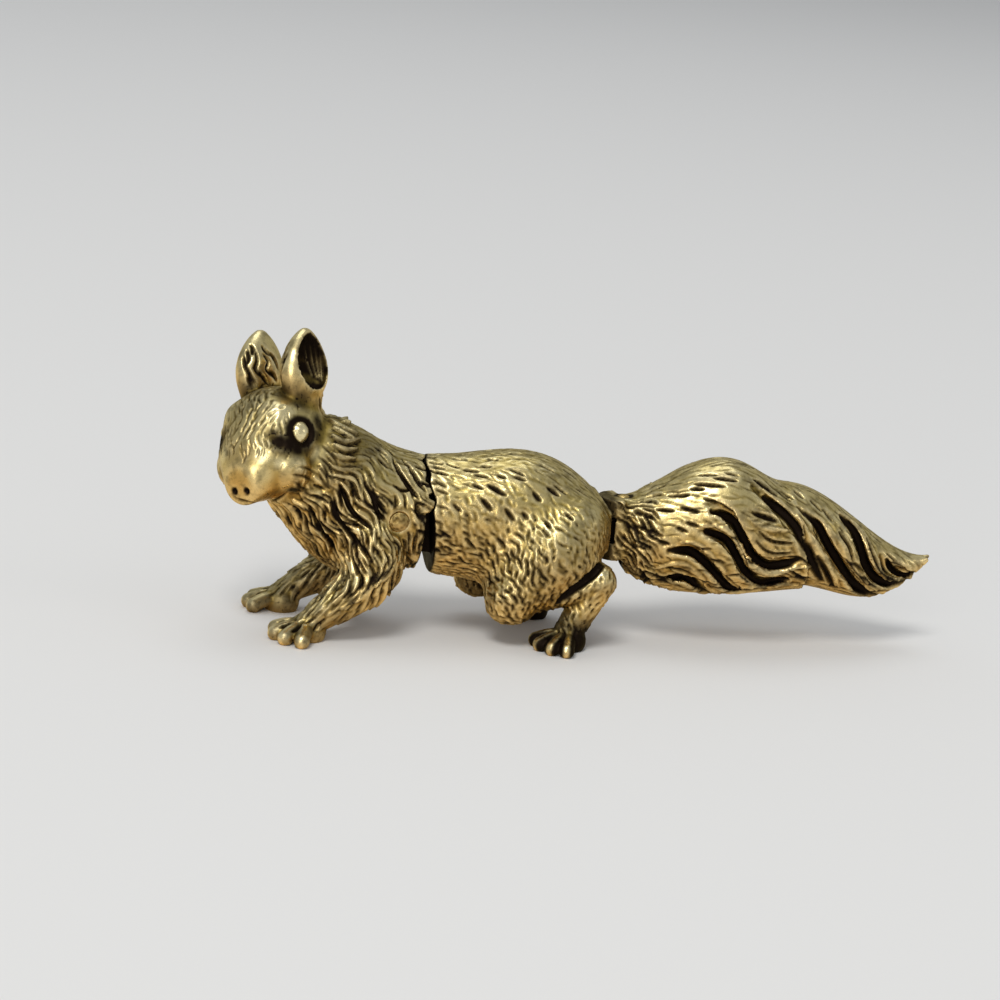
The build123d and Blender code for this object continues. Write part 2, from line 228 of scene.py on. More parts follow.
    def drawn(self, pixels, spacing=3.0):
        """A path on the surface along a line of the photograph."""
        corners = np.array(pixels, float)
        path = []
        smooth_line = curve_through(corners, spacing)
        for u, v in smooth_line:
            point = self.pixel(u, v)
            if point is not None and (not path or np.linalg.norm(point - path[-1]) < 2.5):
                path.append(point)
        return np.array(path) if len(path) > 1 else None

    def snapped(self, path):
        """The nearest points of the surface."""
        return np.array([self.tree.find_nearest(p)[0] for p in path])

    def mirrored(self, path):
        """The same path on the animal's other side."""
        return None if path is None else self.snapped(path * (1, -1, 1))

    def trace(self, start, flow, length, sway=0.0, wave=2.6, phase=0.0, step=0.3):
        """A path over the surface that follows the lie of the fur; neighbours sway alike."""
        point, normal = (np.array(part) for part in self.tree.find_nearest(start)[:2])
        path = [point]
        for _ in range(max(2, round(length / step))):
            ahead = flow(point, normal)
            turn = sway * sin(2 * pi * (point @ SWAY_AXIS) / wave + phase)
            ahead = ahead * cos(turn) + np.cross(normal, ahead) * sin(turn)
            point, normal = (np.array(part) for part in self.tree.find_nearest(point + step * ahead)[:2])
            path.append(point)
        return np.array(path)

    def scattered(self, spacing, wanted):
        """Vertices at least a spacing apart where the mask wants them, in a random order."""
        taken = {}
        chosen = []
        candidates = np.flatnonzero(wanted)
        for i in rng.permutation(candidates):
            p = self.base[i]
            home = np.floor(p / spacing).astype(int)
            clear = True
            for shift in NEIGHBOUR_CELLS:
                other = taken.get(tuple((home + shift).tolist()))
                if other is not None and np.linalg.norm(other - p) < spacing:
                    clear = False
                    break
            if clear:
                taken[tuple(home.tolist())] = p
                chosen.append(i)
        return chosen

    def cavity(self, rounds):
        """Depth below the surface around, positive in hollows."""
        even = self.v.copy()
        for _ in range(rounds):
            even += 0.7 * (self.mean_of_neighbours(even) - even)
        return ((even - self.v) * self.normals()).sum(1)

    def spread(self, values, rounds):
        """The values blurred over the surface."""
        values = values[:, None]
        for _ in range(rounds):
            values = values + 0.7 * (self.mean_of_neighbours(values) - values)
        return values[:, 0]

    def tooled(self, still):
        """Moves the surface by what was raised and cut, except where a joint keeps it still."""
        amount = self.push + self.locks + self.cuts
        fixed = np.maximum(still, np.clip(1.6 * self.spread(still.astype(float), 8), 0, 1))
        self.v = self.base + self.n * (amount * (1 - fixed))[:, None]
        self.v[:, 2] = np.maximum(self.v[:, 2], 0)

    def piece(self, name, body, material, patina):
        """The finished Blender object, in metres, with its patina, painted highlights and painted warm reflection on
        the vertices.
        """
        mesh = bpy.data.meshes.new(name)
        mesh.from_pydata((self.v * MM).tolist(), [], self.quads.tolist())
        mesh.shade_smooth()
        # The patina attribute holds the hollows in red, rubbing with painted highlights in green, and a painted warm
        # reflection in blue.
        layer = mesh.color_attributes.new("patina", "FLOAT_COLOR", "POINT")
        layer.data.foreach_set("color", np.column_stack((patina, np.ones(len(self.v)))).ravel())
        mesh.materials.append(material)
        made = bpy.data.objects.new(name, mesh)
        bpy.context.scene.collection.objects.link(made)
        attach(made, body)
        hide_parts(self.node)
        return made


SWAY_AXIS = np.array((0.62, 0.2, -0.76))
NEIGHBOUR_CELLS = [np.array((x, y, z)) for x in (-1, 0, 1) for y in (-1, 0, 1) for z in (-1, 0, 1)]


def curve_through(corners, spacing):
    """A smooth line through the corners, sampled at about the spacing."""
    padded = np.vstack((2 * corners[0] - corners[1], corners, 2 * corners[-1] - corners[-2]))
    line = []
    for p0, p1, p2, p3 in zip(padded, padded[1:], padded[2:], padded[3:]):
        count = max(1, int(np.linalg.norm(p2 - p1) / spacing))
        for t in np.arange(count) / count:
            line.append(
                0.5 * (2 * p1 + (p2 - p0) * t + (2 * p0 - 5 * p1 + 4 * p2 - p3) * t**2
                       + (3 * p1 - p0 - 3 * p2 + p3) * t**3)
            )
    line.append(corners[-1])
    return line


def lie_of_fur(casting, strokes, extra=()):
    """A flow over the casting from strokes seen in the photograph, the same on both sides."""
    places, headings = [], []
    for start, end in strokes:
        a, b = casting.pixel(*start), casting.pixel(*end)
        if a is None or b is None:
            continue
        for side in (1, -1):
            places.append((a + b) / 2 * (1, side, 1))
            headings.append(unit(b - a) * (1, side, 1))
    for place, heading in extra:
        for side in (1, -1):
            places.append(np.array(place) * (1, side, 1))
            headings.append(unit(np.array(heading, float)) * (1, side, 1))
    places, headings = np.array(places), np.array(headings)

    def flow(point, normal):
        weight = 1 / (((places - point) ** 2).sum(1) + 0.6) ** 1.6
        ahead = (weight[:, None] * headings).sum(0)
        return unit(ahead - normal * (ahead @ normal))

    return flow


def crop(scale, left, top):
    """Photograph pixels from an enlarged crop's own."""
    return lambda *points: [(left + x / scale, top + y / scale) for x, y in points]


head_crop = crop(7.5, 205, 315)
chest_crop = crop(6.818, 290, 420)
rear_crop = crop(6.522, 415, 440)
tail_crop = crop(4.348, 590, 440)

# Joint places of the CAD model, in millimetres
joint_places = {joint["name"]: np.array(joint["pos_m"]) / MM for joint in frame["joints"]}
waist_pin = joint_places["waist_hinge"]
tail_pin = joint_places["tail_hinge"]
WAIST_FACE = -16.2
WAIST_GAP = (0.18, 1.5)
BODY_TOP, BODY_BOTTOM = 17.55, 4.95
SLOT_HALF = 2.45
SLOT_RADIUS = 3.95
WAIST_PIN_RADIUS = 0.9
TAIL_PIN_RADIUS = 0.6
TAIL_LUG_RADIUS = 2.4
TAIL_POCKET_HALF = 1.4


# Materials
def brass(name, dark, olive, pale, warm, warm_pale, roughness, grain):
    """Cast brass: dark patina in the hollows, olive gold between, rubbed pale on the high spots, with a painted warm
    reflection below.
    """
    material = bpy.data.materials.new(name)
    material.use_nodes = True
    nodes, links = material.node_tree.nodes, material.node_tree.links
    shader = nodes["Principled BSDF"]
    shader.inputs["Metallic"].default_value = 1.0
    shader.inputs["Specular Tint"].default_value = (0.92, 0.84, 0.62, 1)
    patina = nodes.new("ShaderNodeAttribute")
    patina.attribute_name = "patina"
    split = nodes.new("ShaderNodeSeparateColor")
    links.new(patina.outputs["Color"], split.inputs["Color"])
    place = nodes.new("ShaderNodeTexCoord")

    def noise(scale, detail):
        node = nodes.new("ShaderNodeTexNoise")
        node.inputs["Scale"].default_value = scale
        node.inputs["Detail"].default_value = detail
        links.new(place.outputs["Object"], node.inputs["Vector"])
        return node.outputs["Fac"]

    def math(operation, a, b):
        node = nodes.new("ShaderNodeMath")
        node.operation = operation
        node.use_clamp = True
        for socket, value in zip(node.inputs, (a, b)):
            links.new(value, socket)
        return node.outputs[0]

    def mix(factor, a, b):
        node = nodes.new("ShaderNodeMix")
        node.data_type = "RGBA"
        links.new(factor, node.inputs[0])
        for socket, value in ((node.inputs[6], a), (node.inputs[7], b)):
            if isinstance(value, tuple):
                socket.default_value = (*value, 1)
            else:
                links.new(value, socket)
        return node.outputs[2]

    def span(value, low, high, to_low, to_high):
        node = nodes.new("ShaderNodeMapRange")
        for socket, number in zip(node.inputs[1:5], (low, high, to_low, to_high)):
            socket.default_value = number
        links.new(value, node.inputs[0])
        return node.outputs[0]

    blotch = noise(330.0, 3.0)
    mottle = noise(1100.0, 5.0)
    speck = noise(3200.0, 3.0)
    fine = noise(9000.0, 2.0)
    hollow = math("ADD", split.outputs["Red"], span(speck, 0.56, 0.74, 0.0, 0.28))
    # Green: rubbed high spots, and painted highlights where the pale patches are.
    rubbed = math("MULTIPLY", split.outputs["Green"], span(blotch, 0.3, 0.7, 0.7, 1.0))
    tone = mix(rubbed, olive, pale)
    # Blue: the painted warm reflection, tinting the undersides towards the warm colours.
    low = math("MULTIPLY", split.outputs["Blue"], span(blotch, 0.35, 0.65, 0.75, 1.0))
    tone = mix(low, tone, mix(rubbed, warm, warm_pale))
    tone = mix(span(mottle, 0.48, 0.68, 0.0, 0.5), tone, dark)
    links.new(mix(hollow, tone, dark), shader.inputs["Base Color"])
    dullness = math("ADD", span(hollow, 0.0, 1.0, roughness, 0.55), span(mottle, 0.4, 0.7, 0.0, 0.14))
    links.new(dullness, shader.inputs["Roughness"])
    bump = nodes.new("ShaderNodeBump")
    bump.inputs["Strength"].default_value = grain
    bump.inputs["Distance"].default_value = 0.03 * MM
    links.new(fine, bump.inputs["Height"])
    links.new(bump.outputs["Normal"], shader.inputs["Normal"])
    return material


# The warm and warm pale colours give the painted warm reflection on the undersides.
antique = brass(
    "antique_brass", (0.014, 0.009, 0.006), (0.47, 0.345, 0.08), (0.92, 0.80, 0.46), (0.60, 0.30, 0.055),
    (0.98, 0.63, 0.21), 0.25, 0.25
)
peened = brass(
    "peened_brass", (0.02, 0.013, 0.007), (0.50, 0.33, 0.09), (0.84, 0.66, 0.28), (0.60, 0.33, 0.08),
    (0.90, 0.62, 0.26), 0.34, 0.5
)


def patina_and_painted_light(casting, still, stain_and_shade, polish_and_highlight=0.0, warm_reflection_patches=0.0):
    """Hollows, stains and painted shade; rubbed ridges and painted highlights; a painted warm reflection on the
    undersides; each from 0 to 1, on every vertex.
    """
    fine, middle, broad = casting.cavity(3), casting.cavity(14), casting.cavity(80)
    normals = casting.normals()
    hollow = np.clip(fine / 0.03, -1, 1) * 0.4 + np.clip(middle / 0.07, -1.2, 1.4) * 0.8
    hollow = hollow + np.clip(broad / 0.25, -0.5, 1) * 0.5
    depth = np.clip(-casting.cuts / 0.14, 0, 1) * (1 - still)
    recess = np.clip(np.maximum(0.1 + 0.95 * hollow, depth), 0, 1)
    # Stains and painted shade darken like the patina; pale polish with painted highlights clears them.
    recess = np.maximum(recess, stain_and_shade) * (1 - polish_and_highlight)
    ridge = np.maximum(np.clip(0.22 - 0.85 * hollow, 0, 1), polish_and_highlight)
    # Painted warm reflection: faces turned down, and the given patches, take the warm tone.
    warm_reflection = np.maximum(smoothstep(-normals[:, 2], -0.55, 0.45), warm_reflection_patches) * (1 - polish_and_highlight)
    return np.column_stack((casting.spread(recess, 1), casting.spread(ridge, 2), casting.spread(warm_reflection, 25)))


def settle(casting, voxel, rounds, weight):
    """Draws the surface to a coarse filleted copy of itself, so that its broad hollows fill too."""
    coarse = Casting(casting.node, voxel)
    coarse.fillet(rounds)
    coarse.index()
    moved = np.flatnonzero(weight > 0.01)
    target = coarse.snapped(casting.v[moved])
    casting.v[moved] += weight[moved, None] * (target - casting.v[moved])


def soften(casting, rounds, weight):
    """Rounds the edges where the weight is."""
    for _ in range(rounds):
        casting.v += 0.5 * weight[:, None] * (casting.mean_of_neighbours(casting.v) - casting.v)


def darkened_paws(casting, paws, toe_length, toe_angles, tone):
    """Dark feet with a pale ridge along each toe, and a groove cut between neighbours."""
    x, y, z = casting.base.T
    stain_and_shade = np.zeros(len(x))
    for paw_x, paw_y in paws:
        side = np.sign(paw_y)
        pale = np.zeros(len(x))
        for angle in toe_angles:
            forward, outward = -cos(radians(angle)), side * sin(radians(angle))
            along = ((x - paw_x) * forward + (y - paw_y) * outward) / toe_length
            across = np.abs((y - paw_y) * forward - (x - paw_x) * outward)
            ridge = (1 - smoothstep(across, 0.12, 0.36)) * smoothstep(along, 0.25, 0.55)
            pale = np.maximum(pale, np.where(along < 1.15, ridge, 0))
        for first, second in zip(toe_angles, toe_angles[1:]):
            angle = radians((first + second) / 2)
            heading = np.array((-cos(angle), side * sin(angle), 0))
            gap = np.array((paw_x, paw_y, 1.6)) + heading * np.linspace(0.3, 0.8, 6)[:, None] * toe_length
            casting.cut(casting.snapped(gap), 0.24, 0.3, 0.4)
        foot = 1 - smoothstep(np.hypot(x - paw_x, y - paw_y), toe_length * 1.1, toe_length * 1.3)
        foot = foot * (1 - smoothstep(z, 1.7, 5.0))
        stain_and_shade = np.maximum(stain_and_shade, tone * foot * (1 - pale))
    return stain_and_shade


def run_on(casting, path, length):
    """A path carried on straight over the surface."""
    heading = unit(path[-1] - path[-3])
    more = casting.trace(path[-1], lambda point, normal: unit(heading - normal * (heading @ normal)), length)
    return np.vstack((path, more[1:]))


def above_pin(casting):
    """Where the waist's two faces meet skin to skin, above the pin."""
    _, y, z = casting.v.T
    skin = 1 - (1 - smoothstep(np.abs(y), 2.7, 3.6)) * (1 - smoothstep(z, 15.6, 16.4))
    return skin * smoothstep(z, 11.5, 13.0)


def wander(casting, weight):
    """Lets the waist's seam wander like the fur, the same way on both castings."""
    _, y, z = casting.v.T
    wave = 0.2 * np.sin(1.9 * z + 1.2 * np.sin(1.3 * y + 0.4))
    casting.v[:, 0] += wave * weight * above_pin(casting)


def waist_gap(z):
    """How far the rear face stands from the front face at a height."""
    return WAIST_GAP[0] + (BODY_TOP - z) * (WAIST_GAP[1] - WAIST_GAP[0]) / (BODY_TOP - BODY_BOTTOM)


# Front casting
front = Casting("front_body", 0.112)
FORE_PAWS = ((-26.4, -4.8), (-27.6, 4.8))
FORE_TOE_LENGTH, FORE_TOE_ANGLES = 3.8, (-24, 8, 40, 72)
HEAD_PLACE = np.array((-30.6, -1.0, 17.6))
HEAD_SIZE = np.array((11.4, 9.3, 9.8))
HEAD_YAW, HEAD_PITCH, HEAD_ROLL = radians(46), radians(6), radians(12)
EYE_PLACE = HEAD_SIZE * (0.066, 0.415, 0.1)
MUZZLE_PLACE = np.array((4.0, 0.0, -2.7))
NOSTRIL_PLACE = HEAD_SIZE * (0.462, 0.075, -0.34)
EAR_ROOT = HEAD_SIZE * (-0.2, 0.275, 0.31)
EAR_LENGTH, EAR_WIDTH, EAR_DEPTH, EAR_OUTSET = 6.9, 5.7, 3.4, 0.8
EAR_RAKE = radians(17)
EAR_HOLLOW_SHARES = ((0.08, 0.05), (0.24, 0.26), (0.46, 0.38), (0.7, 0.32), (0.87, 0.17), (0.95, 0.05))
ahead = np.array((-cos(HEAD_YAW), -sin(HEAD_YAW), 0))
aside = np.array((sin(HEAD_YAW), -cos(HEAD_YAW), 0))
above = np.array((0, 0, 1.0))
ahead, above = ahead * cos(HEAD_PITCH) - above * sin(HEAD_PITCH), above * cos(HEAD_PITCH) + ahead * sin(HEAD_PITCH)
aside, above = aside * cos(HEAD_ROLL) + above * sin(HEAD_ROLL), above * cos(HEAD_ROLL) - aside * sin(HEAD_ROLL)
head_axes = np.stack((ahead, aside, above))


def head_local(points):
    """Places in the head's own frame: forwards, to the animal's left, up."""
    return (points - HEAD_PLACE) @ head_axes.T


def head_mirrored(path):
    """A path on the face, moved to the other side of the head."""
    return None if path is None else front.snapped(head_local(path) * (1, -1, 1) @ head_axes + HEAD_PLACE)


def front_masks():
    """How far each vertex belongs to the waist joint or a sole, to the head and to the ears."""
    x, y, z = front.base.T
    radial = np.hypot(x - waist_pin[0], z - waist_pin[2])
    channel = (x > waist_pin[0]) & (np.abs(z - waist_pin[2] + 0.4) < SLOT_RADIUS + 0.45)
    slot = (np.abs(y) < SLOT_HALF) & ((radial < SLOT_RADIUS) | channel)
    face = (front.n[:, 0] > 0.6) & (x > WAIST_FACE - 0.35)
    joint = (slot | face).astype(float)
    bore = 1 - smoothstep(radial, WAIST_PIN_RADIUS + 0.15, WAIST_PIN_RADIUS + 0.6)
    sole = 1 - smoothstep(z, 0.1, 0.5)
    local = head_local(front.base)
    head = 1 - smoothstep(np.linalg.norm(local / (6.4, 5.3, 5.6), axis=1), 0.9, 1.12)
    head = np.maximum(head, 1 - smoothstep(np.linalg.norm(local - MUZZLE_PLACE, axis=1), 2.7, 3.3))
    ears = smoothstep(local[:, 2], 3.2, 4.3) * (1 - smoothstep(local[:, 0], 0.6, 1.3)) * (np.abs(local[:, 1]) < 5.5)
    return joint, np.maximum.reduce((joint, bore, sole)), head, ears


joint, still, head, ears = front_masks()
toes = 1 - smoothstep(front.base[:, 2], 1.5, 3.0)
rim = smoothstep(front.base[:, 0], WAIST_FACE - 0.7, WAIST_FACE - 0.3)
weight = 1 - np.maximum(still, rim)
legs = 1 - smoothstep(front.base[:, 2], 3.0, 6.5)
waist = smoothstep(front.base[:, 0], WAIST_FACE - 3.0, WAIST_FACE - 1.2)
settle(front, 0.35, 45, weight * (1 - np.maximum.reduce((head, ears, legs, waist))))
front.fillet(30, (weight * (1 - 0.8 * np.maximum(ears, toes)))[:, None])
front.smooth(8, (weight * (1 - 0.8 * toes))[:, None])
front.smooth(40, (weight * ears)[:, None])
at_pin = np.hypot(front.v[:, 0] - waist_pin[0], front.v[:, 2] - waist_pin[2]) < 1.8
soften(front, 4, np.where(at_pin, 0, rim) * (1 - smoothstep(front.v[:, 2], 9, 14)))
close = smoothstep(front.v[:, 0], WAIST_FACE - 1.8, WAIST_FACE - 0.2)
wander(front, close)
tips = smoothstep(np.sin(3.1 * front.v[:, 2] + 1.5 * np.sin(1.6 * front.v[:, 1])), -0.8, 0.1)
front.v[:, 0] += np.clip(waist_gap(front.v[:, 2]) - 0.09, 0, 0.6) * tips * close * above_pin(front)
front.index()
joint, still, head, ears = front_masks()

front_strokes = [
    chest_crop(*pair)
    for pair in (
        ((300, 90), (440, 150)), ((310, 190), (430, 225)), ((690, 280), (800, 380)), ((540, 460), (640, 620)),
        ((320, 480), (440, 640)), ((150, 520), (300, 720)), ((60, 640), (200, 830)), ((370, 650), (500, 760)),
        ((600, 540), (650, 640)), ((350, 860), (400, 980)), ((520, 960), (560, 1080)), ((640, 1000), (600, 1100)),
        ((330, 1040), (230, 1180)), ((800, 720), (840, 880)), ((880, 400), (960, 520)), ((580, 190), (660, 250)),
    )
]
front_flow = lie_of_fur(
    front,
    front_strokes,
    (
        ((-24, 0, 5.2), (0.6, 0, -0.8)), ((-20, 0, 17.4), (1, 0, -0.25)), ((-21.8, -5.5, 7), (-0.3, 0, -0.95)),
        ((-23.5, -5.5, 4.6), (-0.6, 0, -0.8)), ((-25, -5, 3), (-0.7, 0, -0.7)),
    ),
)

# Face: brow, cheeks and chin, then tear ducts and mouth, the same on both sides
for pixels, radius, height in (
    ((278, 410), 1.2, 0.32), ((290, 455), 1.3, 0.2), ((266, 462), 1.4, 0.12), ((300, 476), 1.3, 0.2),
    ((262, 496), 1.0, 0.1),
):
    place = front.pixel(*pixels)
    front.bulge(place, radius, height)
    front.bulge(head_mirrored(place[None])[0], radius, height)
tear = front.drawn(head_crop((465, 880), (520, 940), (600, 990)), 2.0)
smile = front.drawn(head_crop((430, 1410), (510, 1395), (590, 1345), (670, 1285)), 2.0)
for path, half_width, depth in ((tear, 0.5, 0.16), (smile, 0.14, 0.28)):
    front.cut(path, half_width, depth)
    front.cut(head_mirrored(path), half_width, depth)
front.cut(front.drawn(head_crop((190, 1345), (240, 1380), (330, 1402), (450, 1408)), 2.0), 0.11, 0.18)

# Fine strokes from the crown to the muzzle, curls at the cheek's back edge
local = head_local(front.base)


def face_flow(point, normal):
    """From the crown forwards and down, parting round the eyes."""
    side = (point - HEAD_PLACE) @ aside
    heading = 0.75 * ahead - 0.8 * above + 0.1 * np.sign(side) * aside
    return unit(heading - normal * (heading @ normal))


between_ears = np.abs(local[:, 1]) < 1.3
crown = (head > 0.5) & ((ears < 0.2) | between_ears) & (local[:, 2] > 0.4) & (np.abs(local[:, 1]) < 3.4) & (local[:, 0] > -3)
for i in front.scattered(0.5, crown):
    brow = 1 - smoothstep(np.hypot(local[i, 1] / 1.1, local[i, 2] - 2.4) if abs(local[i, 1]) > 1.5 else 3.0, 1.2, 2.0)
    path = front.trace(front.base[i], face_flow, rng.uniform(0.6, 1.5), 0.6, 2.2, rng.uniform(0, 2.5))
    front.cut(path, rng.uniform(0.09, 0.16), rng.uniform(0.06, 0.17) * (1 - 0.7 * brow))
muzzle = (head > 0.5) & (local[:, 0] > 0.5) & (local[:, 0] < 3.4) & (local[:, 2] < 0.8) & (local[:, 2] > -2.2)
for i in front.scattered(1.0, muzzle):
    path = front.trace(front.base[i], face_flow, rng.uniform(0.5, 0.9))
    front.cut(path, rng.uniform(0.08, 0.13), rng.uniform(0.02, 0.05))
cheek_curls = [
    head_crop(*line)
    for line in (
        ((660, 1130), (760, 1150), (850, 1200)), ((640, 1190), (740, 1210), (820, 1260)),
        ((660, 1240), (720, 1290), (790, 1310)), ((850, 1060), (920, 1120), (960, 1200)),
        ((840, 1130), (900, 1200), (930, 1290)), ((880, 980), (960, 1060), (1000, 1140)),
    )
]
for pixels in cheek_curls:
    path = front.drawn(pixels, 2.0)
    front.cut(path, 0.15, 0.18)
    front.cut(head_mirrored(path), 0.15, 0.18)

# Ears: wavy ridges on the inner sides, thin ribs in the hollows
ear_strokes = [
    head_crop(*line)
    for line in (
        ((305, 255), (318, 320), (300, 370)), ((370, 260), (385, 340), (370, 400), (420, 470)),
        ((295, 380), (330, 450), (375, 520)), ((430, 290), (470, 350), (455, 400), (500, 460)),
        ((480, 280), (520, 340), (540, 400)), ((400, 420), (440, 480), (470, 520)),
        ((330, 215), (350, 250), (345, 300)), ((420, 225), (440, 260), (480, 300)), ((275, 300), (285, 360), (300, 420)),
        ((310, 460), (330, 500), (350, 540)), ((480, 420), (510, 450), (530, 490)),
    )
]
for pixels in ear_strokes:
    path = front.drawn(pixels, 2.0)
    front.cut(path, 0.22, 0.28)
    front.cut(head_mirrored(path), 0.22, 0.28)
ear_strands = [
    head_crop(*line)
    for line in (
        ((735, 170), (742, 260), (760, 360), (800, 460)), ((770, 150), (782, 250), (800, 360), (835, 470)),
        ((805, 170), (820, 270), (838, 380), (855, 480)), ((845, 230), (858, 320), (868, 420), (872, 490)),
    )
]
for pixels in ear_strands:
    path = front.drawn(pixels, 2.0)
    front.lock(path, 0.15, 0.2)
    front.lock(head_mirrored(path), 0.15, 0.2)

# Locks and grooves of the neck, chest, shoulders and legs
x, y, z = front.base.T
paw = 1 - smoothstep(z, 1.8, 3.2)
furry = (head < 0.35) & (ears < 0.1) & (paw < 0.6) & (still < 0.5)


def front_calm(i):
    """How far the fur lies flat: on the lower legs, and on the rubbed top of neck and shoulders."""
    leg = 1 - smoothstep(front.base[i, 2], 3.5, 7.0)
    top = smoothstep(front.n[i, 2], 0.1, 0.6) * smoothstep(front.base[i, 2], 12, 15)
    return leg, top


for i in front.scattered(0.85, furry):
    leg, top = front_calm(i)
    length = rng.uniform(1.8, 3.8) * (1 - 0.4 * leg)
    path = front.trace(front.base[i], front_flow, length, 0.5 * (1 - 0.7 * leg), 3.6, rng.uniform(-0.8, 0.8))
    height = rng.uniform(0.2, 0.42) * (1 - 0.7 * top) * (1 - 0.6 * leg)
    front.lock(path, rng.uniform(0.24, 0.4), height)
for i in front.scattered(0.72, furry):
    leg, top = front_calm(i)
    length = rng.uniform(1.2, 2.8) * (1 - 0.3 * leg)
    path = front.trace(front.base[i], front_flow, length, 0.5 * (1 - 0.7 * leg), 3.6, rng.uniform(-0.8, 0.8))
    depth = rng.uniform(0.1, 0.28) * (1 - 0.75 * top) * (1 - 0.45 * leg)
    front.cut(path, rng.uniform(0.11, 0.19), depth, 0.5, 0.02)
chest_grooves = (
    ((330, 430), (370, 520), (420, 620), (500, 700), (560, 745)), ((500, 430), (560, 520), (590, 620), (650, 690)),
    ((270, 520), (310, 640), (380, 740), (480, 860), (560, 960)), ((700, 270), (750, 370), (800, 450), (880, 540)),
    ((130, 600), (190, 700), (270, 830), (330, 930)), ((800, 300), (870, 420), (920, 480)),
    ((560, 480), (600, 560), (660, 640)), ((860, 560), (870, 640), (910, 700)),
)
for line in chest_grooves:
    path = front.drawn(chest_crop(*line), 2.0)
    for drawn in (path, front.mirrored(path)):
        front.cut(drawn, 0.26, 0.4, 0.4, 0.05)
ruff = [
    head_crop(*line)
    for line in (
        ((900, 700), (980, 760), (1080, 830)), ((935, 790), (1030, 850), (1130, 905)),
        ((960, 840), (1040, 890), (1125, 950)), ((950, 900), (1040, 950), (1150, 940)),
        ((960, 970), (1050, 1010), (1130, 1010)), ((950, 1040), (1040, 1070), (1120, 1080)),
        ((880, 640), (950, 690), (1040, 770)),
    )
]
for pixels in ruff:
    path = front.drawn(pixels, 2.0)
    for drawn in (path, front.mirrored(path)):
        front.lock(drawn, 0.3, 0.52)
for pixels in (
    chest_crop((760, 265), (800, 310), (840, 360)), chest_crop((580, 190), (620, 215), (655, 240)),
    chest_crop((700, 440), (760, 480), (830, 480)), chest_crop((600, 260), (640, 300), (670, 330)),
):
    path = front.drawn(pixels, 2.0)
    for drawn in (path, front.mirrored(path)):
        front.cut(drawn, 0.18, 0.28, 0.4)
notched = (x > WAIST_FACE - 1.3) & (x < WAIST_FACE - 0.4) & (still < 0.5) & (z > 8.5)
for i in front.scattered(1.1, notched):
    path = front.trace(front.base[i], lambda point, normal: unit(np.array((1, 0, -0.4))), 1.2)
    front.cut(path, rng.uniform(0.16, 0.26), rng.uniform(0.2, 0.4), 0.3)

# Dark eye patches, nostrils, ear hollows, paws and joint faces; painted shade on the neck and inner legs; pale
# eyeballs; pale brows and cheeks, rubbed polish with painted highlights; a painted warm reflection on the muzzle
stain_and_shade = np.maximum(joint, darkened_paws(front, FORE_PAWS, FORE_TOE_LENGTH, FORE_TOE_ANGLES, 0.5))


def patches(spots, other_side):
    """Soft discs round places of the photograph, and round the same places on the other side."""
    cover = np.zeros(len(front.v))
    for pixels, radius, strength in spots:
        place = front.pixel(*pixels)
        for centre in (place, other_side(place[None])[0]):
            gap = np.linalg.norm(front.base - centre, axis=1) / radius
            cover = np.maximum(cover, strength * (1 - smoothstep(gap, 0.25, 1.35)))
    return cover


eye_patches = patches((
    ((288, 444), 1.5, 1.0), ((279, 442), 1.4, 1.0), ((271, 435), 1.0, 0.85), ((296, 449), 1.3, 1.0),
    ((306, 448), 1.1, 0.9), ((317, 436), 1.0, 0.8), ((318, 423), 1.2, 0.95),
), head_mirrored)
dark_patches = patches((
    ((293, 489), 0.7, 0.95), ((282, 393), 1.7, 0.8), ((300, 400), 1.4, 0.85), ((240, 408), 1.8, 0.35),
    ((320, 408), 1.2, 0.35), ((281, 474), 0.7, 0.3), ((262, 392), 1.5, 0.55),
), head_mirrored)
# Painted shade on the neck behind the head, with some patina.
neck = patches((
    ((345, 434), 3.2, 0.6), ((365, 446), 3.0, 0.55), ((388, 460), 2.4, 0.4), ((345, 458), 2.4, 0.5),
), front.mirrored)
# Painted shade on the inner sides of the lower legs, with some patina.
inner = smoothstep(-front.n[:, 1] * np.sign(front.base[:, 1]), 0.0, 0.6) * (1 - smoothstep(front.base[:, 2], 6.0, 8.5))
stain_and_shade = np.maximum.reduce((stain_and_shade, eye_patches, dark_patches, neck, 0.6 * inner))
# Pale brows and cheeks: rubbed polish, with painted highlights.
polish_and_highlight = patches((
    ((268, 450), 3.0, 0.45), ((280, 412), 1.6, 0.85), ((289, 409), 1.1, 0.85), ((280, 462), 1.0, 0.95),
    ((298, 460), 1.0, 0.95), ((313, 451), 1.0, 0.8), ((262, 455), 1.3, 0.85), ((262, 474), 1.3, 0.6),
), head_mirrored) * (1 - np.maximum(eye_patches, dark_patches))
